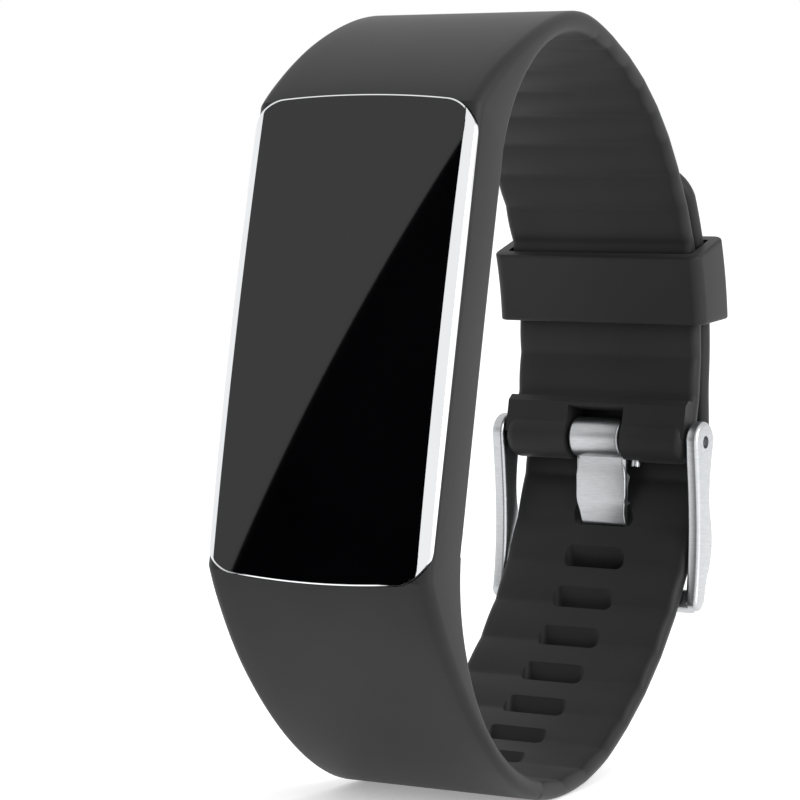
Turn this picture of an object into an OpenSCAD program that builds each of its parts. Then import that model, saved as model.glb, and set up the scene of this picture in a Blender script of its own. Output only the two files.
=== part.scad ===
// Fitness tracker band: a display capsule held in a one-piece silicone band with a tang buckle.
// Every piece is drawn in a design frame whose origin is the centre of the wrist opening: the lens
// faces -Y, +Z runs up the lens and +X across the band. Side outlines are (y, z) points extruded
// along X. The finished object leans back from that frame by display_lean.

/* [Lens and case] */
// Width across the metal bezel
case_w = 21.4; // [21:0.1:21.6]
// Height of the bezel along its middle
case_h = 40.5; // [40:0.1:40.8]
// Centre of the lens above the centre of the wrist opening
case_mid_z = 2.55; // [2.3:0.05:2.8]
// Lens front, ahead of the centre of the wrist opening
lens_front = 26.6; // [26.45:0.05:26.75]
// Radius of the lens's lengthwise curve
lens_curve_r = 450; // [400:25:600]
// Radius of the bezel's corners
corner_r = 2.8; // [2.4:0.1:3]
// How far the bezel's top and bottom edges bow outwards
end_bow = 0.7; // [0.4:0.1:0.9]
// Width of the bright curved strip down each side of the lens
bevel_w = 0.95; // [0.8:0.05:1.2]
// How far that strip falls back over its width
bevel_drop = 0.55; // [0.3:0.05:0.6]

/* [Band] */
// Thickness of the silicone strap
strap_t = 1.7; // [1.55:0.05:1.75]
// Width of the strap at the buckle
strap_w = 18.8; // [18.4:0.1:19]
// Wrist side of the case, ahead of the centre of the wrist opening
case_back = 20.75; // [20.7:0.05:20.8]
// Inner radius of the top and back of the loop
top_r = 28.5; // [28.4:0.05:28.55]
// Inner radius at the bottom of the loop
bottom_r = 21.35; // [21.25:0.05:21.4]
// Inner radius of the lower back of the loop
back_r = 35.6; // [35.5:0.1:35.7]
// Spacing of the adjustment slots along the strap
slot_pitch = 4.25; // [4.1:0.05:4.35]
// Length of each slot, across the strap
slot_l = 6.2; // [6:0.1:6.6]
// Height of each slot on the wrist side
slot_h = 2; // [1.95:0.05:2.1]
// Downward slant of the slots through the strap, in degrees
slot_slant = 44; // [42:1:45]
// Depth of the creases between the shallow pillows across the wrist side of the strap
crease = 0.25; // [0.05:0.05:0.3]

/* [Buckle] */
// Width of the tongue
tongue_w = 5.1; // [4.6:0.1:5.2]
// Thickness of the tongue
tongue_t = 0.75; // [0.6:0.05:0.8]
// Thickness of each arm of the buckle frame
arm_t = 1.25; // [1.1:0.05:1.4]
// Radius of the rolled strap end round the spring bar
sleeve_r = 2.15; // [2:0.05:2.2]
// Radius of the spring bar's tube
bar_r = 0.8; // [0.76:0.01:0.84]
// Radius of the spring bar's tips
tip_r = 0.5; // [0.42:0.01:0.52]
// Travel of the quick-release knob
release_travel = 0.8; // [0.6:0.05:0.85]

/* [Stance] */
// Lean of the lens back from the vertical, in degrees
display_lean = 12; // [0:1:20]

/* [Hidden] */
$fn = 48;
big = 60;
fit_gap = 0.05;

// loop: arcs about centres (y, z), with the angle where the bottom arc meets the lower back arc
top_c = [-7.4, 3.5];
bottom_c = [-1.8, -10.1];
join_a = -46.9;
back_c = bottom_c + (bottom_r - back_r) * dir(join_a);
brow_corner_r = 13.8;
heel_r = 19.4;
brow_corner_c = corner_centre(top_c, top_r, brow_corner_r, 1);
upper_end_a = angle_of(brow_corner_c, top_c);
heel_c = corner_centre(bottom_c, bottom_r, heel_r, -1);
// ends of the lens, where the outside of the strap starts
brow = [0.7 - lens_front, case_mid_z + case_h / 2 - end_bow + 0.1];
chin = [0.7 - lens_front, case_mid_z - case_h / 2 + end_bow - 0.1];
// above the lens the outside leaves the top arc at crest_a, rises to the crest and falls to the brow
crest_a = 76;
crest = [-7.4, 34];
crest_ease = [2.5, 2.5, 6.5];
brow_slope = 57;
brow_ease = 5;
// below the lens it falls from the chin to the bottom of the loop in one curve
chin_slope = 60;
chin_ease = 7;
foot = bottom_c - [0, bottom_r + strap_t];
foot_ease = 8.7;
strap_end_a = -4;
// the tail leaves the lower back arc level with the spring bar and lies over the strap above it
tail_gap = 0.2;
tail_r = top_r + strap_t + tail_gap;
tail_on_a = 7;
tail_tip_a = 44.5;
tail_tip_corner = 3.6;
tail_ease = 2.6;
slot_0_a = -10.3;
slots_below = 7;
slot_corner = 0.65;
slot_step = slot_pitch / back_r * 180 / PI;
upper_pillows = 13;
lower_pillows = 6;
// the creases lie a little below the middle of each slot
crease_0_a = slot_0_a + slot_step - 1.05;

// spring bar, sleeve and buckle
pivot = [21.6, 0.9];
notch_half = 2.9;
notch_top = 3.6;
sleeve_top = 4.5;
sleeve_front = 19.75;
arm_in = strap_w / 2 + 0.15;
arm_out = arm_in + arm_t;
bar_half = arm_in - 0.2;
tip_out = arm_out - 0.75;
arm_head_r = 1.9;
roll_r = 1.85;
crossbar_t = 1.5;
crossbar_h = 2;
crossbar_a = -21.5;
crossbar_c = back_c + (back_r + strap_t + 0.1 + crossbar_t / 2) * dir(crossbar_a);
rest_depth = 0.5;
knob_x = 3.9;
knob_r = 0.42;
knob_drop = 2.6;
bore_r = 0.6;
rod_r = 0.55;
rod_end = 1.5;
bore_end = -3.5;
coils = 11;
wire_r = 0.08;
spring_r = 0.42;

// keeper, a loop that slides along the top arc
keeper_gap = 0.2;
keeper_wall = 1.15;
keeper_in_r = top_r - keeper_gap;
keeper_out_r = tail_r + strap_t + keeper_gap;
keeper_half = strap_w / 2 + keeper_gap;
keeper_a = 16.6;
keeper_span = 13.4;
keeper_corner = 1.2;

// capsule, in layers from the lens back to the wrist side
seat_y = -25.5;
lens_back = seat_y - 0.15;
panel_back = -24.5;
plate_y = [-24.45, -24.05];
board_y = [-24, -23.4];
battery_y = [-23.75, -21.2];
step_y = -22;
shell_back = -21.1;
cover_front = -20.9;
cover_back = -20.1;
shell_w = 19.8;
shell_h = 38;
shell_wall = 0.8;
shell_low_h = 31;
shell_corner = 1.5;
lip = 0.1;
panel_size = [17.2, 33];
panel_z = case_mid_z + 1;
flex_w = 6;
flex_y = -24.9;
flex_r = 0.525;
flex_t = 0.1;
board_z = [4.2, 17];
board_half = 7;
battery_z = [-12, 3];
battery_half = 6.9;
sensor_z = 7.9;
sensor_half = 2.1;
window_r = 3.9;
contact_r = 0.9;
contact_at = [2.5, -8];
motor_at = [3.4, 13.8];
motor_r = 3.3;
motor_y = [-23.15, -21.2];
motor_wall = 0.2;
motor_pin_r = 0.3;
screw_at = [8.1, 13.4];
screw_r = 0.45;
screw_head_r = 0.75;
screw_head_y = -20.7;
boss_r = 1.1;
slit = [1.6, 0.45];

function dir(a) = [cos(a), sin(a)];
function angle_of(p, c) = atan2(p.y - c.y, p.x - c.x);
function arc(c, r, a0, a1, n) = [for (i = [0:n]) c + r * dir(a0 + (a1 - a0) * i / n)];
function reversed(p) = [for (i = [len(p) - 1:-1:0]) p[i]];
function bezier(a, b, c, d, n) = [for (i = [0:n]) let (t = i / n, s = 1 - t)
    s * s * s * a + 3 * s * s * t * b + 3 * s * t * t * c + t * t * t * d];
// an arc of n shallow pillows with a crease at each end, every span degrees from a0
function pillows(c, r, a0, span, n) = [for (i = [0:4 * n]) let (t = (i % 4) / 4)
    c + (r + crease * (1 - 4 * t * (1 - t))) * dir(a0 + span * i / 4)];
// centre of a corner arc that touches the case's wrist side and, from inside, the arc (c, r)
function corner_centre(c, r, small_r, side) = let (y = small_r - case_back)
    [y, c.y + side * sqrt(pow(r - small_r, 2) - pow(y - c.x, 2))];
// a line of points moved sideways by d, and the ribbon of thickness t along it
function beside(p, d) = [for (i = [0:len(p) - 1])
    let (a = p[max(i - 1, 0)], b = p[min(i + 1, len(p) - 1)], n = (b - a) / norm(b - a))
    p[i] + d * [-n.y, n.x]];
function spring_x(i) = bore_end + 0.2 + (rod_end - bore_end - 0.4) * i / (coils - 1);
function ribbon(p, t) = concat(beside(p, t / 2), reversed(beside(p, -t / 2)));
// section (x, y) of the bezel's front at one side, from its edge in to the glass
function fall(side) = [for (k = [8:-1:0])
    [side * (case_w / 2 - bevel_w * (1 - k / 8)), bevel_drop * pow(k / 8, 2) - lens_front]];
function brow_bend() = let (a = top_c + (top_r + strap_t) * dir(crest_a)) concat(
    bezier(a, a + crest_ease[0] * dir(crest_a + 90), crest + [crest_ease[1], 0], crest, 12),
    bezier(crest, crest - [crest_ease[2], 0], brow + brow_ease * dir(brow_slope), brow, 16));
// the tail's way from the lower back arc to where it lies over the strap, d outside its wrist side
function tail_bend(d) = let (a = back_c + (back_r + d) * dir(0), b = top_c + (tail_r + d) * dir(tail_on_a))
    bezier(a, a + [0, tail_ease], b - tail_ease * [-sin(tail_on_a), cos(tail_on_a)], b, 8);

module across(w) rotate([90, 0, 90]) linear_extrude(height = w, center = true) children();
module swept(c, a, span) translate([0, c.x, c.y]) rotate([90, 0, 90]) rotate([0, 0, a])
    rotate_extrude(angle = span, $fn = 180) children();
module bar(p, r, x0, x1) translate([x0, p.x, p.y]) rotate([0, 90, 0]) cylinder(r = r, h = x1 - x0);
module pin(x, z, r, y0, y1) translate([x, y1, z]) rotate([90, 0, 0]) cylinder(r = r, h = y1 - y0);
module block(half, y, z) translate([-half, y[0], z[0]]) cube([2 * half, y[1] - y[0], z[1] - z[0]]);
module rounded(w, h, r) {
    square([w - 2 * r, h], center = true);
    square([w, h - 2 * r], center = true);
    for (sx = [-1, 1], sz = [-1, 1]) translate([sx * (w / 2 - r), sz * (h / 2 - r)]) circle(r = r);
}
// children drawn in (x, z) about the lens centre, standing from y0 back to y1
module layer(y0, y1) translate([0, y1, case_mid_z]) rotate([90, 0, 0])
    linear_extrude(height = y1 - y0) children();
module plate(w, h, r, y0, y1) layer(y0, y1) rounded(w, h, r);
module at_corners(x, z) for (sx = [-1, 1], sz = [-1, 1])
    translate([sx * x, 0, case_mid_z + sz * z]) children();
module leaned() rotate([-display_lean, 0, 0]) children();

// front outline of the bezel, inset by d: rounded corners and bowed ends
module face_outline(d) intersection() {
    bow_r = (case_w * case_w / 4 + end_bow * end_bow) / (2 * end_bow);
    rounded(case_w - 2 * d, case_h - 2 * d, corner_r);
    translate([0, case_h / 2 - d - bow_r]) circle(r = bow_r, $fn = 360);
    translate([0, bow_r + d - case_h / 2]) circle(r = bow_r, $fn = 360);
}
// what the glass fills between the two bright side strips
module glass_outline(d) intersection() {
    face_outline(lip + d);
    square([case_w - 2 * bevel_w - 2 * d, case_h], center = true);
}
// the lens's lengthwise curve, and the bezel's fall at each side
module crowned() intersection() {
    across(2 * case_w) polygon(concat([[seat_y + 1, -big], [seat_y + 1, big]],
        arc([lens_curve_r - lens_front, case_mid_z], lens_curve_r, 177, 183, 48)));
    children();
}
module side_fall() linear_extrude(height = 2 * big, center = true)
    polygon(concat([[-case_w / 2, seat_y + 1]], fall(-1), reversed(fall(1)), [[case_w / 2, seat_y + 1]]));
// the strap narrows in plan from the case to the buckle
module plan() linear_extrude(height = 2 * big, center = true) let (c = case_w / 2 + 0.05, s = strap_w / 2)
    polygon([[-c, -big], [c, -big], [c, -18], [s, 13], [s, big], [-s, big], [-s, 13], [-c, -18]]);
module slot_at(c, r, a) translate([0, c.x, c.y]) rotate([a, 0, 0]) translate([0, r, 0])
    rotate([90 - slot_slant, 0, 0]) linear_extrude(height = 5 * strap_t, center = true)
    rounded(slot_l, slot_h * cos(slot_slant), slot_corner);
module slots() for (i = [0:slots_below]) {
    a = slot_0_a - i * slot_step;
    if (a > join_a) slot_at(back_c, back_r, a);
    else slot_at(bottom_c, bottom_r, join_a + (a - join_a) * back_r / bottom_r);
}

// upper strap, case surround and lower root of the band, ending at the bottom of the loop
module band() color("#38383a") difference() {
    intersection() {
        union() {
            across(2 * case_w) polygon(concat(
                arc(top_c, top_r + strap_t, strap_end_a, crest_a, 30), brow_bend(),
                bezier(chin, chin + chin_ease * dir(-chin_slope), foot - [foot_ease, 0], foot, 24),
                [bottom_c - [0, bottom_r]],
                arc(heel_c, heel_r, angle_of(bottom_c - [0, bottom_r], heel_c) - 1, -180, 24),
                arc(brow_corner_c, brow_corner_r, 180, upper_end_a, 24),
                reversed(pillows(top_c, top_r, strap_end_a, (upper_end_a - strap_end_a) / upper_pillows,
                    upper_pillows))));
            bar(pivot, sleeve_r, -strap_w / 2, strap_w / 2);
            across(strap_w) polygon([[sleeve_front, pivot.y], [sleeve_front, sleeve_top - 0.4],
                [sleeve_front + 0.5, sleeve_top], pivot + [0.5, sleeve_top - pivot.y], pivot]);
        }
        plan();
    }
    face_pocket();
    plate(shell_w + 2 * fit_gap, shell_h + 2 * fit_gap, shell_corner, -big, step_y + fit_gap);
    plate(shell_w + 2 * fit_gap, shell_low_h + 6 * fit_gap, shell_corner, step_y - 1, 0);
    for (s = [-1, 1]) translate([0, -case_back, case_mid_z + s * (shell_low_h + slit.x) / 2])
        cube([2 * case_w, 2 * slit.y, slit.x], center = true);
    block(notch_half, [0, big], [pivot.y - 3 * sleeve_r, notch_top]);
    bar(pivot, bar_r + 0.02, -big, big);
    translate([0, pivot.x - 0.6, -5]) cube([knob_x + 0.6, 1.2, 5 + pivot.y]);
}
module face_pocket() layer(-big, seat_y) face_outline(-fit_gap);

// lower back of the band: from the bottom of the loop up behind the buckle to the rounded tip
module band_tail() color("#38383a") difference() {
    intersection() {
        across(2 * case_w) polygon(concat(
            arc(bottom_c, bottom_r + strap_t, -90, join_a, 14),
            arc(back_c, back_r + strap_t, join_a, 0, 24), tail_bend(strap_t),
            arc(top_c, tail_r + strap_t, tail_on_a, tail_tip_a, 16),
            reversed(arc(top_c, tail_r, tail_on_a, tail_tip_a, 16)), reversed(tail_bend(0)),
            reversed(arc(back_c, back_r, -3, 0, 2)), reversed(pillows(back_c, back_r,
                crease_0_a - lower_pillows * slot_step, slot_step, lower_pillows)),
            reversed(arc(bottom_c, bottom_r, -90, join_a, 14))));
        plan();
    }
    slots();
    for (s = [-1, 1]) translate([0, top_c.x, top_c.y]) rotate([tail_tip_a, 0, 0])
        translate([s * (strap_w / 2 - tail_tip_corner), tail_r + strap_t / 2, -tail_tip_corner])
        rotate([90, 0, 0]) linear_extrude(height = 4 * strap_t, center = true) difference() {
            translate([s > 0 ? 0 : -2 * tail_tip_corner, 0]) square([2 * tail_tip_corner, 2 * tail_tip_corner]);
            circle(r = tail_tip_corner);
        }
}
// loop that holds the tail down on the strap
module keeper() color("#2e2e30") difference() {
    outer = [keeper_out_r - keeper_in_r + 2 * keeper_wall, 2 * (keeper_half + keeper_wall)];
    mid_r = (keeper_out_r + keeper_in_r) / 2;
    swept(top_c, keeper_a, keeper_span) translate([mid_r, 0]) rounded(outer.x, outer.y, keeper_corner);
    swept(top_c, keeper_a - 1, keeper_span + 2) translate([mid_r, 0])
        square([keeper_out_r - keeper_in_r, 2 * keeper_half], center = true);
}

module bezel() color("#d8dadc") difference() {
    crowned() intersection() {
        layer(-lens_front - 1, seat_y) face_outline(0);
        side_fall();
    }
    layer(-lens_front - 2, 0) glass_outline(0);
}
module lens() color("#0c0c0e") crowned() layer(-lens_front - 1, lens_back) glass_outline(0.03);
module lens_gasket() color("#18181a") difference() {
    layer(lens_back, seat_y) glass_outline(fit_gap);
    plate(panel_size.x + 0.4, shell_h - 2 * shell_wall, 0.5, lens_back - 1, seat_y + 1);
}
module display_panel() color("#202428")
    translate([0, 0, panel_z - case_mid_z]) plate(panel_size.x, panel_size.y, 0.5, lens_back, panel_back);
module display_flex() color("#b87830") across(flex_w) let (z = panel_z - panel_size.y / 2)
    polygon(ribbon(concat([[flex_y, z]],
        arc([flex_y + flex_r, z - 0.4], flex_r, 180, 360, 12), [[flex_y + 2 * flex_r, board_z[0]]]), flex_t));
module mid_frame() color("#303236") {
    block(shell_w / 2 - shell_wall - fit_gap, plate_y, [panel_z - panel_size.y / 2 + 0.6, 20]);
    for (s = [-1, 1]) translate([s * (battery_half + 0.2), 0, 0])
        block(0.12, [plate_y[0], shell_back - 0.4], [battery_z[0] + 3, battery_z[1]]);
}
module capsule_shell() color("#232325") difference() {
    union() {
        difference() {
            union() {
                plate(shell_w, shell_h, shell_corner, seat_y, step_y);
                plate(shell_w, shell_low_h, shell_corner, step_y - 1, shell_back);
            }
            plate(shell_w - 2 * shell_wall, shell_h - 2 * shell_wall, 0.7, seat_y - 1, step_y - shell_wall);
            plate(shell_w - 2 * shell_wall, shell_low_h - 2 * shell_wall, 0.7, step_y - 2, shell_back + 1);
        }
        at_corners(screw_at.x, screw_at.y) pin(0, 0, boss_r, board_y[0], shell_back);
    }
    at_corners(screw_at.x, screw_at.y) pin(0, 0, screw_r + 0.02, -22.4, 0);
}
module back_cover() color("#2a2a2c") difference() {
    plate(shell_w, shell_low_h, shell_corner, cover_front, cover_back);
    pin(0, sensor_z, window_r + fit_gap, -big, 0);
    for (s = [-1, 1]) pin(s * contact_at.x, contact_at.y, contact_r + fit_gap, -big, 0);
    at_corners(screw_at.x, screw_at.y) {
        pin(0, 0, screw_r + 0.1, -big, 0);
        pin(0, 0, screw_head_r + fit_gap, screw_head_y, 0);
    }
}
module cover_seal() color("#151517") difference() {
    plate(shell_w - 0.2, shell_low_h - 0.2, shell_corner, shell_back, cover_front);
    plate(shell_w - 1.4, shell_low_h - 1.4, 0.9, -big, 0);
    at_corners(screw_at.x, screw_at.y) pin(0, 0, screw_r + 0.1, -big, 0);
}
module cover_screws() color("#8c8e92") at_corners(screw_at.x, screw_at.y) difference() {
    union() {
        pin(0, 0, screw_r, -22.3, screw_head_y + 0.1);
        pin(0, 0, screw_head_r, screw_head_y, cover_back - 0.08);
    }
    for (a = [0, 90]) translate([0, cover_back, 0]) rotate([0, a, 0]) cube([0.9, 0.6, 0.2], center = true);
}
module sensor_window() color("#1b2420") pin(0, sensor_z, window_r, cover_front, cover_back - 0.02);
module optical_sensor() color("#4a6a50") {
    translate([0, 0, sensor_z]) block(sensor_half, [board_y[1], shell_back], [-sensor_half, sensor_half]);
}
module charge_contacts() color("#c8a24a")
    for (s = [-1, 1]) pin(s * contact_at.x, contact_at.y, contact_r, shell_back, cover_back - 0.02);
module main_board() color("#1d4030") {
    block(board_half, board_y, board_z);
    translate([-4, 0, 0]) block(2.2, [board_y[0] + 0.1, -21.7], [11.5, 15.9]);
    translate([-4.7, 0, 0]) block(1.4, [board_y[0] + 0.1, -21.9], [6, 10]);
}
module battery() color("#9aa0a4") block(battery_half, battery_y, battery_z);
module motor_can() color("#b4b6b8") {
    difference() {
        pin(motor_at.x, motor_at.y, motor_r, motor_y[0], motor_y[1]);
        pin(motor_at.x, motor_at.y, motor_r - motor_wall, motor_y[0] + motor_wall, motor_y[1] - motor_wall);
    }
    pin(motor_at.x, motor_at.y, motor_pin_r, motor_y[0] + motor_wall / 2, motor_y[1] - motor_wall / 2);
}
module motor_weight() color("#77787a") difference() {
    pin(motor_at.x, motor_at.y, motor_r - 2 * motor_wall, motor_y[0] + 1.5 * motor_wall,
        motor_y[1] - 1.5 * motor_wall);
    pin(motor_at.x, motor_at.y, motor_pin_r + 0.03, -big, 0);
    translate([motor_at.x, 0, motor_at.y + motor_pin_r + motor_r / 2 + 0.2])
        cube([3 * motor_r, 2 * big, motor_r], center = true);
}

// buckle frame: two arms hung on the spring bar and the bar across their lower ends
module buckle_frame() color("#c4c6c8") difference() {
    union() {
        for (s = [-1, 1]) translate([s * (arm_in + arm_out) / 2, 0, 0]) {
            across(arm_t) polygon(concat(
                bezier([19.75, 0.6], [20.9, -3], [22.7, -7.5], [22.9, -13.4], 12),
                arc([23.75, -13.7], 0.85, 180, 315, 6),
                bezier([24.85, -13.6], [24.8, -12.6], [24.85, -11.9], [25, -11.2], 4),
                bezier([25, -11.2], [25.75, -9.2], [25.3, -7.2], [24.4, -5.6], 10),
                bezier([24.4, -5.6], [23.7, -4.2], [23.4, -2], [23.5, 0.9], 8)));
            bar(pivot, arm_head_r, -arm_t / 2, arm_t / 2);
        }
        translate([0, crossbar_c.x, crossbar_c.y]) rotate([crossbar_a, 0, 0])
            across(2 * arm_in + arm_t) rounded(crossbar_t, crossbar_h, 0.5);
    }
    bar(pivot, tip_r + fit_gap, -big, big);
    translate([0, crossbar_c.x, crossbar_c.y]) rotate([crossbar_a, 0, 0])
        translate([0, crossbar_t / 2 + 1 - rest_depth, 0]) cube([tongue_w + 0.4, 2, 4], center = true);
}
// tongue: rolled round the spring bar, through a slot of the tail, its tip resting on the crossbar
module tongue() color("#c4c6c8") difference() {
    union() {
        bar(pivot, roll_r, -tongue_w / 2, tongue_w / 2);
        across(tongue_w) polygon(ribbon(concat([[22.05, 0], [22.5, -2.6]],
            bezier([22.9, -4.5], [23.02, -5], [23.15, -5.3], [23.4, -5.75], 4),
            bezier([24.1, -6.9], [24.7, -7.8], [25.2, -8.1], [25.35, -9.2], 6),
            bezier([25.4, -10.1], [25.4, -11.4], [25.1, -13], [24.75, -14.3], 6)), tongue_t));
    }
    bar(pivot, bar_r + fit_gap, -big, big);
}
// spring bar's tube, closed at the left with a fixed tip and bored from the right
module spring_bar_tube() color("#a8aaac") difference() {
    union() {
        bar(pivot, bar_r, -bar_half, bar_half);
        bar(pivot, tip_r, -tip_out, 0);
    }
    bar(pivot, bore_r, bore_end, big);
    translate([knob_x - release_travel - knob_r - fit_gap, pivot.x - knob_r - fit_gap, pivot.y - big])
        cube([release_travel + 2 * (knob_r + fit_gap), 2 * (knob_r + fit_gap), big]);
}
// sliding tip with the quick-release knob, and the spring behind it
module release_plunger() color("#c8cacc") {
    bar(pivot, rod_r, rod_end, bar_half - 0.3);
    bar(pivot, tip_r, bar_half - 0.5, tip_out);
    translate([knob_x, pivot.x, pivot.y - knob_drop]) cylinder(r = knob_r, h = knob_drop);
}
module plunger_spring() color("#8a8c8e") difference() {
    union() {
        bar(pivot, spring_r, bore_end + fit_gap, rod_end - fit_gap);
        for (i = [0:coils - 1]) bar(pivot, spring_r + wire_r, spring_x(i) - wire_r, spring_x(i) + wire_r);
    }
    bar(pivot, spring_r - wire_r, -big, big);
}

leaned() band();
leaned() band_tail();
leaned() keeper();
leaned() bezel();
leaned() lens();
leaned() lens_gasket();
leaned() display_panel();
leaned() display_flex();
leaned() mid_frame();
leaned() capsule_shell();
leaned() back_cover();
leaned() cover_seal();
leaned() cover_screws();
leaned() sensor_window();
leaned() optical_sensor();
leaned() charge_contacts();
leaned() main_board();
leaned() battery();
leaned() motor_can();
leaned() motor_weight();
leaned() buckle_frame();
leaned() tongue();
leaned() spring_bar_tube();
leaned() release_plunger();
leaned() plunger_spring();
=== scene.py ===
import bmesh
import bpy
import math
from mathutils import Matrix, Vector


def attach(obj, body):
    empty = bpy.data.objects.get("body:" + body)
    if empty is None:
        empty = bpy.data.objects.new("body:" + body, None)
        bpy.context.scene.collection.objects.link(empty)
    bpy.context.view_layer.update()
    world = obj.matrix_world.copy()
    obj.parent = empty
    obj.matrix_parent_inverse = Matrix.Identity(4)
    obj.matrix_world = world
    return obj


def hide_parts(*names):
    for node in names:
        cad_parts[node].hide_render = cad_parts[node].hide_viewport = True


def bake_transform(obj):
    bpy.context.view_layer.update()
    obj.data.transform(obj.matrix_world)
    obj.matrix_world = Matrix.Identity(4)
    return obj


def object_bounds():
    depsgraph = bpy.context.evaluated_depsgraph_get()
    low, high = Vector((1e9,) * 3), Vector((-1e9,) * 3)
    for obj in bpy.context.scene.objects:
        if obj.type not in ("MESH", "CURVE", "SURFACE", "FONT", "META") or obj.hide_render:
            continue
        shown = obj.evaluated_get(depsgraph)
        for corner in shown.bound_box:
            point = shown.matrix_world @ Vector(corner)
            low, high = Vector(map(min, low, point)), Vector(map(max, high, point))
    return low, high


# Fitness tracker band: glass capsule in a silicone band with a steel tang buckle.
# Pieces are modelled in millimetres in the design frame of the CAD, lens facing -Y and upright,
# with the centre of the wrist opening as origin, and settle() turns them into the shared frame.

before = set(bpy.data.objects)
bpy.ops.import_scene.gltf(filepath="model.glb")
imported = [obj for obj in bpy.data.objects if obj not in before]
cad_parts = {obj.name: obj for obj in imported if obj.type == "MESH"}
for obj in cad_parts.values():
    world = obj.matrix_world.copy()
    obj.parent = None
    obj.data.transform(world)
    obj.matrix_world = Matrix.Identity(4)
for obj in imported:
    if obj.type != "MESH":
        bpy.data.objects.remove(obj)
CAD_BOX = [list(map(float, corner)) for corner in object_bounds()]

LEAN = math.radians(12)
TO_SHARED = Matrix.Rotation(-LEAN, 4, "X") @ Matrix.Scale(0.001, 4)

# band: arc centres (y, z) and radii, as the CAD has them
TOP, TOP_R = (-7.4, 3.5), 28.5
BOTTOM, BOTTOM_R = (-1.8, -10.1), 21.35
JOIN_A = -46.9
BACK_R = 35.6
BROW_CORNER_R, HEEL_R = 13.8, 19.4
WRIST_SIDE = -20.75
STRAP_T, STRAP_HALF, STRAP_EDGE = 1.7, 9.4, 0.78
# the band is CASE_HALF wide round the case and narrows to STRAP_HALF between these two depths
CASE_HALF, NARROW_FROM, NARROW_TO = 10.72, -18, 13
TAIL_GAP = 0.2
# outside of the band above and below the lens
FIRST_A, CREST_A, CREST = -4, 76, (-7.4, 34)
BROW_SLOPE, CHIN_SLOPE = 57, -60
EDGE_BACK, EDGE_UP = 0.7, 0.1
LENS_FRONT, SEAT, LENS_CURVE_R = -26.6, -25.5, 450
CASE_W, CASE_H, CASE_Z = 21.4, 40.5, 2.55
END_BOW, CORNER_R = 0.7, 2.8
BEVEL_W, BEVEL_DROP = 0.95, 0.55
LIP, GLASS_GAP = 0.1, 0.03
AHEAD = -30
PIVOT = (21.6, 0.9)
SLEEVE_R, SLEEVE_HALF = 2.14, 9.38
TONGUE_HALF, TONGUE_T = 2.6, 0.75
CROSSBAR_A = -21.5
# the studio's black flag, in metres: its side shift, its width and height, and its roll
FLAG_SHIFT, FLAG_SIZE, FLAG_ROLL = -0.0293, (0.085, 0.27), -6.1
SLOTS, SLOT_W, SLOT_H, SLOT_CORNER = 8, 6.2, 2.0, 0.65
SLOT_STEP = math.degrees(4.25 / BACK_R)
SLOT_0_A = -10.3
SLOT_SLANT = 44
CREASE, UPPER_PILLOWS = 0.25, 13
CREASE_0_A = SLOT_0_A - 1.05
TAIL_ON_A, TAIL_TIP_A, TIP_CORNER = 7.0, 44.5, 3.6
KEEPER_HALF, KEEPER_WALL = 9.6, 1.15


# ---------------------------------------------------------------- small geometry helpers
def point(c, r, a):
    return (c[0] + r * math.cos(math.radians(a)), c[1] + r * math.sin(math.radians(a)))


def angle(p, c):
    return math.degrees(math.atan2(p[1] - c[1], p[0] - c[0]))


def spread(a, b, n):
    return [a + (b - a) * i / n for i in range(n + 1)]


def bezier(a, b, c, d, n):
    out = []
    for t in spread(0, 1, n):
        s = 1 - t
        out.append(tuple(s ** 3 * a[k] + 3 * s * s * t * b[k] + 3 * s * t * t * c[k] + t ** 3 * d[k]
                         for k in (0, 1)))
    return out


def corner_centre(c, r, small_r, side):
    y = small_r + WRIST_SIDE
    return (y, c[1] + side * math.sqrt((r - small_r) ** 2 - (y - c[0]) ** 2))


BACK = (BOTTOM[0] + (BOTTOM_R - BACK_R) * math.cos(math.radians(JOIN_A)),
        BOTTOM[1] + (BOTTOM_R - BACK_R) * math.sin(math.radians(JOIN_A)))
BROW_CORNER = corner_centre(TOP, TOP_R, BROW_CORNER_R, 1)
HEEL = corner_centre(BOTTOM, BOTTOM_R, HEEL_R, -1)
TAIL_R = TOP_R + STRAP_T + TAIL_GAP


# ---------------------------------------------------------------- modelling helpers
def alone(obj=None):
    if bpy.context.object and bpy.context.object.mode != "OBJECT":
        bpy.ops.object.mode_set(mode="OBJECT")
    bpy.ops.object.select_all(action="DESELECT")
    if obj:
        obj.select_set(True)
        bpy.context.view_layer.objects.active = obj


def edit(obj, what="VERT"):
    alone(obj)
    bpy.ops.object.mode_set(mode="EDIT")
    bpy.ops.mesh.select_mode(type=what)


def edit_all(obj):
    edit(obj)
    bpy.ops.mesh.select_all(action="SELECT")


def named(name):
    """the object just added, with its name"""
    obj = bpy.context.object
    obj.name = obj.data.name = name
    return obj


def join(parts):
    alone(parts[0])
    for part in parts:
        part.select_set(True)
    bpy.ops.object.join()
    return parts[0]


def pick_edges(obj, test):
    edit(obj, "EDGE")
    bpy.ops.mesh.select_all(action="DESELECT")
    bpy.ops.object.mode_set(mode="OBJECT")
    points = obj.data.vertices
    for e in obj.data.edges:
        e.select = test(points[e.vertices[0]].co, points[e.vertices[1]].co)
    bpy.ops.object.mode_set(mode="EDIT")


def box(name, low, high):
    alone()
    middle = [(a + b) / 2 for a, b in zip(low, high)]
    bpy.ops.mesh.primitive_cube_add(size=1, location=middle,
                                    scale=[b - a for a, b in zip(low, high)])
    obj = named(name)
    bpy.ops.object.transform_apply(location=True, rotation=True, scale=True)
    return obj


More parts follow.
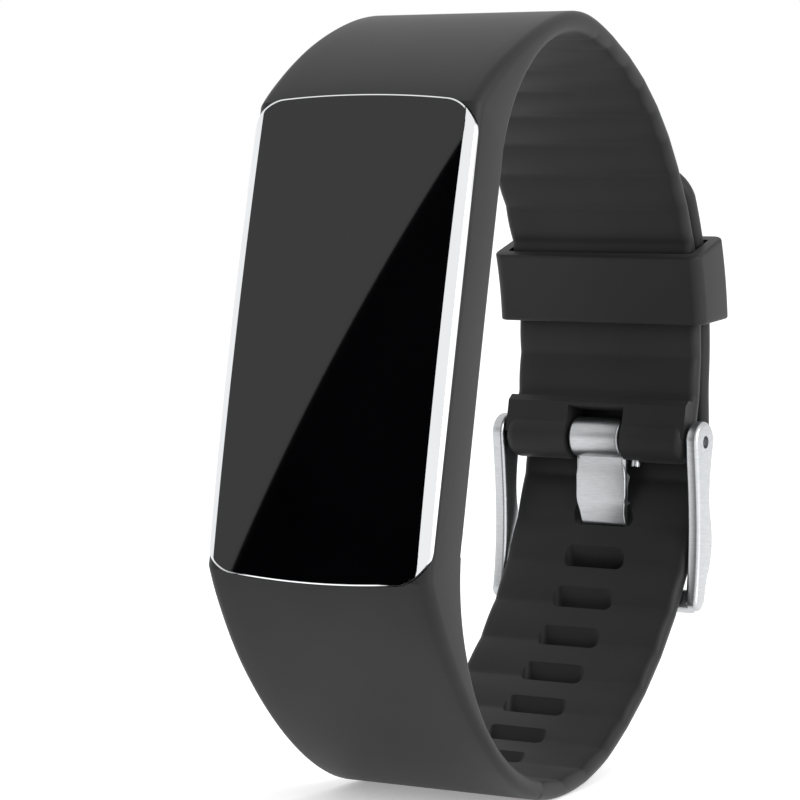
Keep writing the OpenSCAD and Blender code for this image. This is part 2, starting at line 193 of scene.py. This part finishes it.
def rod(name, centre, r, x0, x1, sides=64):
    alone()
    bpy.ops.mesh.primitive_cylinder_add(vertices=sides, radius=r, depth=x1 - x0,
                                        location=((x0 + x1) / 2, centre[0], centre[1]),
                                        rotation=(0, math.pi / 2, 0))
    obj = named(name)
    bpy.ops.object.transform_apply(location=True, rotation=True, scale=True)
    return obj


def combine(obj, other, operation="DIFFERENCE"):
    alone(obj)
    mod = obj.modifiers.new("join", "BOOLEAN")
    mod.operation, mod.solver, mod.object = operation, "EXACT", other
    bpy.ops.object.modifier_apply(modifier=mod.name)
    bpy.data.objects.remove(other)


def soften(obj, width, segments=3, limit=35):
    alone(obj)
    mod = obj.modifiers.new("edge", "BEVEL")
    mod.width, mod.segments, mod.limit_method = width, segments, "ANGLE"
    mod.angle_limit = math.radians(limit)
    bpy.ops.object.modifier_apply(modifier=mod.name)


def face_out(obj):
    """all faces outwards: made consistent, then turned over if the volume comes out negative"""
    edit_all(obj)
    bpy.ops.mesh.normals_make_consistent(inside=False)
    alone(obj)
    shape = bmesh.new()
    shape.from_mesh(obj.data)
    volume = shape.calc_volume(signed=True)
    shape.free()
    if volume < 0:
        edit_all(obj)
        bpy.ops.mesh.flip_normals()
        alone(obj)


def prism(name, outline, x0, x1):
    """a solid with the side outline [(y, z), ...] from x0 to x1"""
    alone()
    bpy.ops.mesh.primitive_circle_add(vertices=len(outline), radius=1, fill_type="NGON")
    obj = named(name)
    for v, p in zip(obj.data.vertices, outline):
        v.co = (x0, p[0], p[1])
    edit_all(obj)
    bpy.ops.mesh.extrude_region_move(TRANSFORM_OT_translate={"value": (x1 - x0, 0, 0)})
    face_out(obj)
    return obj


def settle(obj, material, slot, *nodes, smooth=35):
    """turns a finished piece into the shared frame, with its material and replaced nodes; the slot
    is not used
    """
    obj.data.transform(TO_SHARED)
    obj.data.materials.clear()
    obj.data.materials.append(material)
    alone(obj)
    bpy.ops.object.shade_smooth_by_angle(angle=math.radians(smooth))
    if nodes:
        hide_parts(*nodes)
    return obj


# ---------------------------------------------------------------- materials
def linear(code):
    out = []
    for k in (1, 3, 5):
        c = int(code[k:k + 2], 16) / 255
        out.append(c / 12.92 if c <= 0.04045 else ((c + 0.055) / 1.055) ** 2.4)
    return (*out, 1.0)


def add(tree, kind, settings=(), links=()):
    """one node, its settings {name: value}, and its inputs {socket: (node, output)}"""
    n = tree.nodes.new(kind)
    for name, value in dict(settings).items():
        if name in n.inputs:
            n.inputs[name].default_value = value
        else:
            setattr(n, name, value)
    for name, (source, output) in dict(links).items():
        tree.links.new(source.outputs[output], n.inputs[name])
    return n


def surface(name, settings):
    m = bpy.data.materials.new(name)
    m.use_nodes = True
    m.node_tree.nodes.clear()
    t = m.node_tree
    shader = add(t, "ShaderNodeBsdfPrincipled", settings)
    out = add(t, "ShaderNodeOutputMaterial")
    t.links.new(shader.outputs["BSDF"], out.inputs["Surface"])
    place = add(t, "ShaderNodeTexCoord")
    return m, t, shader, place


def tint(t, shader, place, dark, light, scale):
    noise = add(t, "ShaderNodeTexNoise", {"Scale": scale, "Detail": 3.0},
                {"Vector": (place, "Object")})
    ramp = add(t, "ShaderNodeValToRGB", (), {"Fac": (noise, "Fac")})
    low, high = ramp.color_ramp.elements
    low.position, high.position = 0.35, 0.65
    low.color, high.color = linear(dark), linear(light)
    t.links.new(ramp.outputs["Color"], shader.inputs["Base Color"])


def relief(t, shader, height, strength, distance):
    bump = add(t, "ShaderNodeBump", {"Strength": strength, "Distance": distance},
               {"Height": height})
    t.links.new(bump.outputs["Normal"], shader.inputs["Normal"])


def silicone(name, dark, light):
    # liquid silicone rubber moulded against a bead-blasted tool: a soft matt skin with a broad dim
    # highlight; the blast grain is about 0.1 mm, drawn at 0.25 mm so that it shows
    m, t, shader, place = surface(name, {"Roughness": 0.5, "IOR": 1.43, "Specular IOR Level": 0.27,
                                         "Sheen Weight": 0.05, "Sheen Roughness": 0.5})
    tint(t, shader, place, dark, light, 90)
    grain = add(t, "ShaderNodeTexNoise", {"Scale": 4000, "Detail": 2.0},
                {"Vector": (place, "Object")})
    relief(t, shader, (grain, "Fac"), 0.12, 0.00004)
    return m


def plastic(name, dark, light, rough, grain_scale):
    # injection-moulded ABS and polycarbonate blend: even, slightly waxy, fine spark-eroded texture
    m, t, shader, place = surface(name, {"Roughness": rough, "IOR": 1.53})
    tint(t, shader, place, dark, light, 200)
    grain = add(t, "ShaderNodeTexVoronoi", {"Scale": grain_scale}, {"Vector": (place, "Object")})
    relief(t, shader, (grain, "Distance"), 0.15, 0.00003)
    return m


def metal(name, dark, light, rough, stretch, strength):
    # metal finished with an abrasive belt: fine lines about 0.05 mm apart, drawn at 0.12 mm
    m, t, shader, place = surface(name, {"Metallic": 1.0, "Roughness": rough})
    lines = add(t, "ShaderNodeMapping", {"Scale": stretch}, {"Vector": (place, "Object")})
    brush = add(t, "ShaderNodeTexNoise", {"Scale": 1.0, "Detail": 3.0},
                {"Vector": (lines, "Vector")})
    ramp = add(t, "ShaderNodeValToRGB", (), {"Fac": (brush, "Fac")})
    low, high = ramp.color_ramp.elements
    low.color, high.color = linear(dark), linear(light)
    t.links.new(ramp.outputs["Color"], shader.inputs["Base Color"])
    relief(t, shader, (brush, "Fac"), strength, 0.00002)
    return m


def glossy(name, settings, dark, light, scale):
    m, t, shader, place = surface(name, settings)
    tint(t, shader, place, dark, light, scale)
    return m


SILICONE = silicone("moulded_silicone", "#171718", "#1d1d1e")
# the keeper's copy of the band silicone is made a shade darker: painted shade on the keeper
SHADED_KEEPER_SILICONE = silicone("moulded_silicone_keeper_shaded", "#161617", "#1b1b1c")
# vacuum-plated and polished: mirror-bright with the faintest polishing haze
BRIGHT = metal("polished_plated_metal", "#e4e6e8", "#f2f3f4", 0.06, (300, 300, 60), 0.01)
STEEL = metal("brushed_stainless_steel", "#a6a8ab", "#c8cacc", 0.33, (900, 900, 8000), 0.2)
TURNED = metal("turned_stainless_steel", "#aeb0b3", "#cdcfd1", 0.3, (8000, 700, 700), 0.15)
# toughened glass printed black from behind: a deep black with one clean mirror reflection
GLASS = glossy("black_printed_glass", {"Roughness": 0.015, "IOR": 1.5},
               "#020203", "#040405", 40)
SHELL = plastic("moulded_case_plastic", "#1b1b1d", "#222224", 0.45, 6000)
INNER = plastic("moulded_frame_plastic", "#3a3c40", "#44464a", 0.5, 3000)
SEAL = silicone("die_cut_gasket", "#101011", "#161617")
PANEL = glossy("display_laminate", {"Roughness": 0.1, "IOR": 1.5}, "#0d1014", "#141a20", 400)
FILM = glossy("polyimide_film", {"Roughness": 0.25, "IOR": 1.6}, "#8f4f16", "#b0681f", 900)
MASK = glossy("green_solder_mask", {"Roughness": 0.3, "IOR": 1.5}, "#0d3320", "#164a2e", 1200)
WINDOW = glossy("tinted_sensor_window", {"Roughness": 0.03, "IOR": 1.49}, "#06090a", "#0b1112", 300)
SENSOR = glossy("clear_moulded_package", {"Roughness": 0.15, "IOR": 1.5}, "#2c4a38", "#3a6048", 900)
FOIL = metal("laminated_cell_foil", "#a4a8ac", "#bfc3c6", 0.35, (500, 500, 500), 0.1)
GOLD = metal("gold_plated_contact", "#d8b060", "#ecc878", 0.18, (2000, 2000, 2000), 0.05)
TUNGSTEN = metal("sintered_tungsten", "#55565a", "#6c6d70", 0.45, (2500, 2500, 2500), 0.3)


# ---------------------------------------------------------------- silicone band
def half_width(y):
    t = min(max((y - NARROW_FROM) / (NARROW_TO - NARROW_FROM), 0), 1)
    return CASE_HALF + (STRAP_HALF - CASE_HALF) * t


def strap(name, rows):
    """a strap modelled flat, one row of faces a millimetre, then laid along the rows
    [(wrist side (y, z), outer side (y, z), half width), ...]"""
    n, half, edge = len(rows) - 1, STRAP_HALF, STRAP_EDGE
    alone()
    bpy.ops.mesh.primitive_grid_add(x_subdivisions=10, y_subdivisions=n, size=2)
    obj = named(name)
    edit_all(obj)
    bpy.ops.transform.resize(value=(half, n / 2, 1), center_override=(0, 0, 0))
    bpy.ops.mesh.extrude_region_move(TRANSFORM_OT_translate={"value": (0, 0, STRAP_T)})
    pick_edges(obj, lambda a, b: abs(abs(a.x) - half) < 1e-3 and abs(a.x - b.x) < 1e-3
               and abs(a.z - b.z) < 1e-3)
    bpy.ops.mesh.bevel(offset=edge, segments=6, profile=0.5, affect="EDGES")
    alone(obj)
    for v in obj.data.vertices:
        inner, outer, wide = rows[min(max(round(v.co.y + n / 2), 0), n)]
        depth = math.dist(inner, outer)
        squeeze = min(depth / STRAP_T, 1.0)
        x, t, round_by = abs(v.co.x), v.co.z, 1.0
        if t > STRAP_T / 2:
            # the outer edges are rounded more fully where the band is thick
            round_by = min(1 + 0.2 * max(depth / STRAP_T - 1, 0), 1.35)
            t = depth - (STRAP_T - t) * round_by * squeeze
        else:
            t *= squeeze
        if x > half - edge - 0.01:
            x = wide - (half - x) * round_by
        else:
            x *= (wide - edge * round_by) / (half - edge)
        v.co = (math.copysign(x, v.co.x), inner[0] + (outer[0] - inner[0]) * t / depth,
                inner[1] + (outer[1] - inner[1]) * t / depth)
    face_out(obj)
    return obj


def pillow(turns):
    """depth of the wrist side between two creases, which lie at whole turns"""
    part = turns % 1.0
    return CREASE * (1 - 4 * part * (1 - part))


def arc_rows(c, r, angles, turns=lambda a: 0.5):
    """rows round an arc; the wrist side is pillowed between creases at whole turns(a)"""
    rows = []
    for a in angles:
        inner = point(c, r + pillow(turns(a)), a)
        rows.append((inner, point(c, r + STRAP_T, a), half_width(inner[0])))
    return rows


def root_rows():
    out_r = TOP_R + STRAP_T
    brow = (LENS_FRONT + EDGE_BACK, CASE_Z + CASE_H / 2 - END_BOW + EDGE_UP)
    chin = (LENS_FRONT + EDGE_BACK, CASE_Z - CASE_H / 2 + END_BOW - EDGE_UP)
    upper_end = angle(BROW_CORNER, TOP)

    def upper_turns(a):
        return UPPER_PILLOWS * (a - FIRST_A) / (upper_end - FIRST_A)
    rows = arc_rows(TOP, TOP_R, spread(FIRST_A, CREST_A, 150), upper_turns)
    # above the lens: the outside goes up to the crest and down to the brow
    start = point(TOP, out_r, CREST_A)
    rise = point(start, 2.5, CREST_A + 90)
    outside = bezier(start, rise, (CREST[0] + 2.5, CREST[1]), CREST, 16)[1:]
    outside += bezier(CREST, (CREST[0] - 6.5, CREST[1]), point(brow, 5, BROW_SLOPE), brow, 44)[1:]
    for q in outside:
        a = angle(q, TOP)
        if a < upper_end:
            inner = point(TOP, TOP_R + pillow(upper_turns(a)), a)
        else:
            b = upper_end + (180 - upper_end) * (a - upper_end) / (angle(brow, TOP) - upper_end)
            inner = point(BROW_CORNER, BROW_CORNER_R, b)
        rows.append((inner, q, half_width(inner[0])))
    for t in spread(0, 1, 8)[1:]:
        rows.append(((WRIST_SIDE, BROW_CORNER[1] + (HEEL[1] - BROW_CORNER[1]) * t),
                     (brow[0], brow[1] + (chin[1] - brow[1]) * t), half_width(WRIST_SIDE)))
    # below the lens: one curve outside, one arc inside
    foot = (BOTTOM[0], BOTTOM[1] - BOTTOM_R - STRAP_T)
    outside = bezier(chin, point(chin, 7, CHIN_SLOPE), (foot[0] - 8.7, foot[1]), foot, 40)[1:]
    inside = spread(-180, angle((BOTTOM[0], BOTTOM[1] - BOTTOM_R), HEEL), len(outside))[1:]
    for a, q in zip(inside, outside):
        inner = point(HEEL, HEEL_R, a)
        rows.append((inner, q, half_width(inner[0])))
    return rows


def back_turns(a):
    return (a - CREASE_0_A) / SLOT_STEP


def bottom_turns(a):
    return back_turns(JOIN_A + (a - JOIN_A) * BOTTOM_R / BACK_R)


def span_rows():
    rows = arc_rows(BOTTOM, BOTTOM_R, spread(-90, JOIN_A, 64), bottom_turns)
    return rows + arc_rows(BACK, BACK_R, spread(JOIN_A, CROSSBAR_A, 64), back_turns)[1:]


def tail_rows():
    rows = arc_rows(BACK, BACK_R, spread(CROSSBAR_A, 0, 56), back_turns)
    ease, on = 2.6, TAIL_ON_A
    lean = (-math.sin(math.radians(on)), math.cos(math.radians(on)))
    sides = []
    for d in (pillow(back_turns(0)), STRAP_T):
        a, b = point(BACK, BACK_R + d, 0), point(TOP, TAIL_R + d, on)
        sides.append(bezier(a, (a[0], a[1] + ease),
                            (b[0] - ease * lean[0], b[1] - ease * lean[1]), b, 12))
    rows += [(p, q, STRAP_HALF) for p, q in zip(*sides)][1:]
    # the tail's rounded end, with its rows closer together and its last edge rounded
    tip, corner = TAIL_TIP_A, TIP_CORNER
    for a in spread(on, tip - 8.3, 26)[1:] + spread(tip - 8.0, tip, 26):
        left = (tip - a) * math.pi / 180 * TAIL_R
        wide = STRAP_HALF
        if left < corner:
            wide += math.sqrt(max(corner ** 2 - (corner - left) ** 2, 0)) - corner
        pinch = 0.5 * (1 - min(left / 0.6, 1)) ** 2
        rows.append((point(TOP, TAIL_R + pinch, a), point(TOP, TAIL_R + STRAP_T - pinch, a), wide))
    return rows


def slot_cutter(angles, centre_of):
    """slanting bars with rounded corners, one for each slot, as one cutter"""
    cutters = []
    for a in angles:
        c, r, a = centre_of(a)
        alone()
        bpy.ops.mesh.primitive_cube_add(size=1, location=(0, *point(c, r, a)),
                                        rotation=(math.radians(a - SLOT_SLANT), 0, 0))
        cutter = bpy.context.object
        cutter.scale = (SLOT_W, 8, SLOT_H * math.cos(math.radians(SLOT_SLANT)))
        bpy.ops.object.transform_apply(location=False, rotation=False, scale=True)
        pick_edges(cutter, lambda p, q: abs(p.y - q.y) > 1)
        bpy.ops.mesh.bevel(offset=SLOT_CORNER, segments=6, affect="EDGES")
        alone(cutter)
        bpy.ops.object.transform_apply(location=True, rotation=True, scale=True)
        cutters.append(cutter)
    return join(cutters)


def on_arc(a):
    """the arc that an angle along the back of the loop falls on: its centre, radius and angle"""
    if a > JOIN_A:
        return BACK, BACK_R, a
    return BOTTOM, BOTTOM_R, JOIN_A + (a - JOIN_A) * BACK_R / BOTTOM_R


def face_half(z, inset):
    """half width of the bezel's outline, at a height z from its middle"""
    w, straight = CASE_W / 2 - inset, CASE_H / 2 - inset - CORNER_R
    over = max(abs(z) - straight, 0)
    return w - CORNER_R + math.sqrt(max(CORNER_R ** 2 - over ** 2, 0))


def face_plate(name, inset, front, y_back, side_limit=math.inf, rows=72, across=40):
    """a plate with the bezel's bowed and rounded outline; front(x, z) gives its front face"""
    alone()
    bpy.ops.mesh.primitive_grid_add(x_subdivisions=across, y_subdivisions=rows, size=2)
    obj = named(name)
    # the columns crowd towards the sides, where the outline is rounded
    tall, crowd = CASE_H / 2 - inset, math.pi / 2 * 0.85
    for v in obj.data.vertices:
        u, t = v.co.x, math.sin(v.co.y * math.pi / 2)
        w = min(face_half(t * tall, inset), side_limit)
        x = math.sin(u * crowd) / math.sin(crowd) * w
        z = t * (tall - END_BOW * (x / (CASE_W / 2)) ** 2)
        v.co = (x, front(x, z), CASE_Z + z)
    edit_all(obj)
    bpy.ops.mesh.extrude_region_move(TRANSFORM_OT_translate={"value": (0, 1, 0)})
    alone(obj)
    # the copy that was pushed back becomes the flat rear face
    for v in obj.data.vertices:
        if v.select:
            v.co.y = y_back
    face_out(obj)
    return obj


def crown(x, z):
    """the lens and the bezel's front are bowed along the band alone"""
    return LENS_FRONT + LENS_CURVE_R - math.sqrt(LENS_CURVE_R ** 2 - z * z)


def bezel_front(x, z):
    k = max(abs(x) - (CASE_W / 2 - BEVEL_W), 0) / BEVEL_W
    end_bevel, end_drop = 0.35, 0.1
    end = max(abs(z) - (CASE_H / 2 - end_bevel), 0) / end_bevel
    return crown(x, z) + BEVEL_DROP * k * k + end_drop * min(end, 1) ** 2


def make_band():
    band = strap("silicone_band", root_rows())
    sleeve = rod("sleeve", PIVOT, SLEEVE_R, -SLEEVE_HALF, SLEEVE_HALF, 96)
    soften(sleeve, 1.1, 7)
    combine(band, sleeve, "UNION")
    # the strap's end runs into the sleeve without a step
    ledge = prism("ledge", [(19.78, 0.9), (19.78, 3.9), (20.3, 4.5), (22.0, 4.5), (21.8, 0.9)],
                  -9.3, 9.3)
    combine(band, ledge, "UNION")
    # the way through for the bezel, the case and the cover, from front to back
    combine(band, face_plate("pocket", -0.04, lambda x, z: AHEAD, SEAT))
    way, case_end, cover_end = 9.95, 19.05, 15.65
    combine(band, box("case_pocket", (-way, SEAT - 0.1, CASE_Z - case_end),
                      (way, -21.95, CASE_Z + case_end)))
    combine(band, box("cover_pocket", (-way, -22.8, CASE_Z - cover_end),
                      (way, -15, CASE_Z + cover_end)))
    for s in (-1, 1):
        z = CASE_Z + s * 16.2
        combine(band, box("slit", (-20, WRIST_SIDE - 0.45, z - 0.7), (20, -15, z + 0.7)))
    notch = TONGUE_HALF + 0.3
    combine(band, box("tongue_notch", (-notch, 15, -6), (notch, 30, 3.6)))
    combine(band, rod("bar_bore", PIVOT, 0.82, -20, 20, 32))
    combine(band, box("knob_way", (0, PIVOT[0] - 0.6, -6),
                      (4.5, PIVOT[0] + 0.6, PIVOT[1])))
    settle(band, SILICONE, "silicone", "band", smooth=30)
    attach(band, "root")


def make_tail():
    span = strap("strap_span", span_rows())
    near = [SLOT_0_A - i * SLOT_STEP for i in range(SLOTS)]
    combine(span, slot_cutter([a for a in near if a < CROSSBAR_A - 2], on_arc))
    settle(span, SILICONE, "silicone", "band_tail", smooth=30)
    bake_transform(span)
    tail = strap("strap_tail", tail_rows())
    combine(tail, slot_cutter([a for a in near if a > CROSSBAR_A + 2], on_arc))
    settle(tail, SILICONE, "silicone", "band_tail", smooth=30)
    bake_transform(tail)


def swung_block(name, half, low, high, start, swing, corner):
    """a block between two radii of the top arc, spun about its centre, with rounded long edges"""
    alone()
    bpy.ops.mesh.primitive_plane_add(size=1)
    obj = named(name)
    edit_all(obj)
    bpy.ops.transform.resize(value=(2 * half, high - low, 1), center_override=(0, 0, 0))
    bpy.ops.transform.translate(value=(0, TOP[0] + (low + high) / 2, TOP[1]))
    bpy.ops.transform.rotate(value=math.radians(-start), orient_axis="X",
                             center_override=(0, TOP[0], TOP[1]))
    bpy.ops.mesh.spin(steps=14, angle=math.radians(-swing), center=(0, TOP[0], TOP[1]),
                      axis=(1, 0, 0))
    bpy.ops.mesh.select_all(action="SELECT")
    bpy.ops.mesh.remove_doubles(threshold=0.001)
    face_out(obj)

    def runs_round(a, b):
        level = abs(math.dist((a.y, a.z), TOP) - math.dist((b.y, b.z), TOP)) < 1e-2
        return abs(a.x - b.x) < 1e-3 and abs(abs(a.x) - half) < 1e-3 and level
    pick_edges(obj, runs_round)
    bpy.ops.mesh.bevel(offset=corner, segments=7, affect="EDGES")
    alone(obj)
    return obj


def make_keeper():
    in_r, out_r = TOP_R - TAIL_GAP, TAIL_R + STRAP_T + TAIL_GAP
    half, wall = KEEPER_HALF, KEEPER_WALL
    keeper = swung_block("silicone_keeper", half + wall, in_r - wall, out_r + wall,
                         16.6, 13.4, wall)
    soften(keeper, 0.22, 3, 50)
    combine(keeper, swung_block("keeper_way", half, in_r, out_r, 14.6, 17.4, 0.35))
    settle(keeper, SHADED_KEEPER_SILICONE, "silicone", "keeper")
    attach(keeper, "keeper")


def make_lens():
    side = CASE_W / 2 - BEVEL_W
    glass = face_plate("lens_glass", LIP + GLASS_GAP, crown, SEAT - 0.15, side - GLASS_GAP)
    cutter = face_plate("lens_window", LIP, lambda x, z: AHEAD, -20, side)
    bezel = face_plate("metal_bezel", 0, bezel_front, SEAT, rows=120, across=96)
    combine(bezel, cutter)
    settle(glass, GLASS, "lens_glass", "lens", smooth=20)
    settle(bezel, BRIGHT, "bezel_metal", "bezel", smooth=28)
    for o in (glass, bezel):
        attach(o, "root")


def make_buckle():
    inner, thick = 9.55, 1.25
    outline = bezier((19.75, 0.6), (20.9, -3), (22.7, -7.5), (22.9, -13.4), 16)
    outline += [point((23.75, -13.7), 0.85, a) for a in spread(180, 315, 8)]
    outline += bezier((24.85, -13.6), (24.8, -12.6), (24.85, -11.9), (25, -11.2), 5)
    outline += bezier((25, -11.2), (25.75, -9.2), (25.3, -7.2), (24.4, -5.6), 12)[1:]
    outline += bezier((24.4, -5.6), (23.7, -4.2), (23.4, -2), (23.5, 0.9), 12)[1:]
    outline += [point(PIVOT, 1.9, a) for a in spread(0, 180, 18)][1:]
    arms = []
    for s in (-1, 1):
        x0, x1 = sorted((s * inner, s * (inner + thick)))
        arm = prism("buckle_arm", outline, x0, x1)
        soften(arm, 0.38, 5, 50)
        arms.append(arm)
    frame_piece = join(arms)
    bar_c = point(BACK, BACK_R + STRAP_T + 0.85, CROSSBAR_A)
    bar = box("crossbar", (-inner - 0.7, -0.75, -1), (inner + 0.7, 0.75, 1))
    soften(bar, 0.42, 5)
    rest = TONGUE_HALF + 0.2
    notch = box("rest", (-rest, 0.25, -3), (rest, 3, 3))
    soften(notch, 0.15, 2)
    combine(bar, notch)
    bar.data.transform(Matrix.Translation((0, bar_c[0], bar_c[1]))
                       @ Matrix.Rotation(math.radians(CROSSBAR_A), 4, "X"))
    combine(frame_piece, bar, "UNION")
    combine(frame_piece, rod("pin_hole", PIVOT, 0.58, -20, 20, 48))
    frame_piece.name = frame_piece.data.name = "buckle_frame_steel"
    settle(frame_piece, STEEL, "buckle_steel", "buckle_frame", smooth=32)
    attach(frame_piece, "buckle_frame")


def beside(line, d):
    """the line moved sideways by d"""
    out = []
    for i in range(len(line)):
        a, b = line[max(i - 1, 0)], line[min(i + 1, len(line) - 1)]
        size = math.dist(a, b)
        out.append((line[i][0] - d * (b[1] - a[1]) / size, line[i][1] + d * (b[0] - a[0]) / size))
    return out


def make_tongue():
    line = [(22.05, 0), (22.26, -1.1), (22.36, -1.7), (22.44, -2.2), (22.5, -2.6), (22.7, -3.5)]
    line += bezier((22.9, -4.5), (23.02, -5), (23.15, -5.3), (23.4, -5.75), 5)
    line += bezier((24.1, -6.9), (24.7, -7.8), (25.2, -8.1), (25.35, -9.2), 8)
    line += bezier((25.4, -10.1), (25.4, -11.4), (25.1, -13), (24.75, -14.3), 8)
    outline = beside(line, TONGUE_T / 2) + beside(line, -TONGUE_T / 2)[::-1]
    tongue = prism("tongue_plate", outline, -TONGUE_HALF, TONGUE_HALF)
    # the blade has a waist under the roll and narrows again past the bend and at the tip
    for v in tongue.data.vertices:
        waist = max(1 - abs(v.co.z + 1.2) / 1.3, 0)
        past_bend = min(max((-4.9 - v.co.z) / 1.2, 0), 1)
        tip = min(max((-12.5 - v.co.z) / 2, 0), 1)
        v.co.x *= 1 - 0.1 * waist - 0.1 * past_bend - 0.1 * tip
    soften(tongue, 0.2, 4, 50)
    roll = rod("roll", PIVOT, 1.85, -TONGUE_HALF, TONGUE_HALF, 96)
    soften(roll, 0.3, 4)
    combine(tongue, roll, "UNION")
    combine(tongue, rod("roll_bore", PIVOT, 0.85, -20, 20, 48))
    tongue.name = tongue.data.name = "tongue_steel"
    settle(tongue, STEEL, "buckle_steel", "tongue", smooth=32)
    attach(tongue, "tongue")


def make_spring():
    # a real coil of 0.16 mm wire in place of the ribbed tube
    alone()
    turns, wire, r, steps = 11, 0.08, 0.42, 20
    x0, x1 = -3.4, 1.4
    bpy.ops.mesh.primitive_circle_add(vertices=8, radius=wire,
                                      location=(0, PIVOT[0], PIVOT[1] + r),
                                      rotation=(0, math.pi / 2, 0))
    coil = named("plunger_coil")
    bpy.ops.object.transform_apply(location=True, rotation=True, scale=True)
    mod = coil.modifiers.new("turns", "SCREW")
    mod.axis, mod.angle, mod.screw_offset = "X", math.tau, (x1 - x0 - 2 * wire) / turns
    mod.iterations, mod.steps, mod.render_steps = turns, steps, steps
    coil.data.transform(Matrix.Translation((0, -PIVOT[0], -PIVOT[1])))
    alone(coil)
    bpy.ops.object.modifier_apply(modifier=mod.name)
    edit_all(coil)
    bpy.ops.mesh.fill_holes(sides=8)
    face_out(coil)
    coil.data.transform(Matrix.Translation((x0 + wire, PIVOT[0], PIVOT[1])))
    settle(coil, TURNED, "small_steel", "plunger_spring", smooth=60)
    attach(coil, "root")


def dress_nodes():
    finishes = {"lens_gasket": SEAL, "display_panel": PANEL, "display_flex": FILM,
                "mid_frame": INNER, "capsule_shell": SHELL, "back_cover": SHELL,
                "cover_seal": SEAL, "cover_screws": TURNED, "sensor_window": WINDOW,
                "optical_sensor": SENSOR, "charge_contacts": GOLD, "main_board": MASK,
                "battery": FOIL, "motor_can": TURNED, "motor_weight": TUNGSTEN,
                "spring_bar_tube": TURNED, "release_plunger": TURNED}
    for node, material in finishes.items():
        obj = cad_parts[node]
        obj.data.materials.clear()
        obj.data.materials.append(material)


# ---------------------------------------------------------------- studio
def paper(name, glow):
    # seamless white studio paper, lit evenly from behind so that it stays pale
    m, t, shader, place = surface(name, {"Roughness": 0.9, "Emission Strength": glow,
                                         "Emission Color": (1, 1, 1, 1)})
    tint(t, shader, place, "#f4f4f4", "#f8f8f8", 4)
    return m


def softbox(name, at, aim, wide, tall, glow):
    light = bpy.data.lights.new(name, "AREA")
    light.shape, light.size, light.size_y = "RECTANGLE", wide, tall
    light.energy = glow * math.pi * wide * tall
    obj = bpy.data.objects.new(name, light)
    bpy.context.collection.objects.link(obj)
    turn = (Vector(aim) - Vector(at)).to_track_quat("-Z", "Y").to_matrix().to_4x4()
    obj.matrix_world = Matrix.Translation(at) @ turn


def studio():
    low = min(corner[2] for corner in CAD_BOX)
    alone()
    bpy.ops.mesh.primitive_plane_add(size=8, location=(0, 0, low))
    floor = bpy.context.object
    floor.name = "studio_floor"
    floor.data.materials.append(paper("floor_paper", 0.3))
    # black flag in front of the lens, off to the left: its slanting edge is mirrored in the glass
    at, aim = Vector((-0.30, -0.53, 0.18)), Vector((0, -0.02, 0))
    alone()
    bpy.ops.mesh.primitive_plane_add(size=1)
    flag = bpy.context.object
    flag.name = "black_flag"
    flag.data.transform(Matrix.Translation((FLAG_SHIFT, 0, 0))
                        @ Matrix.Scale(FLAG_SIZE[0], 4, (1, 0, 0))
                        @ Matrix.Scale(FLAG_SIZE[1], 4, (0, 1, 0))
                        @ Matrix.Translation((0.5, 0, 0)))
    turn = (aim - at).to_track_quat("-Z", "Y").to_matrix().to_4x4()
    flag.data.transform(Matrix.Translation(at) @ turn
                        @ Matrix.Rotation(math.radians(FLAG_ROLL), 4, "Z"))
    cloth, t, shader, place = surface("flag_velvet", {"Roughness": 1.0,
                                                      "Specular IOR Level": 0.0})
    tint(t, shader, place, "#010101", "#020202", 40)
    flag.data.materials.append(cloth)
    world = bpy.data.worlds.new("studio")
    bpy.context.scene.world = world
    world.use_nodes = True
    world.node_tree.nodes["Background"].inputs["Color"].default_value = linear("#ffffff")
    world.node_tree.nodes["Background"].inputs["Strength"].default_value = 1.0
    softbox("key_right", (0.6, -0.08, 0.28), (0, 0, 0), 0.5, 0.5, 4.5)
    bpy.context.scene.view_settings.view_transform = "Standard"


def camera():
    data = bpy.data.cameras.new("camera")
    data.sensor_width = 36
    data.lens = 150.3
    data.clip_start, data.clip_end = 0.02, 20
    obj = bpy.data.objects.new("camera", data)
    bpy.context.collection.objects.link(obj)
    at, aim = Vector((0.1443, -0.2556, 0.0225)), Vector((0, -0.01533, 0.00217))
    obj.location = at
    obj.rotation_euler = (aim - at).to_track_quat("-Z", "Y").to_euler()
    bpy.context.scene.camera = obj


make_band()
make_tail()
make_keeper()
make_lens()
make_buckle()
make_tongue()
make_spring()
dress_nodes()
studio()
camera()
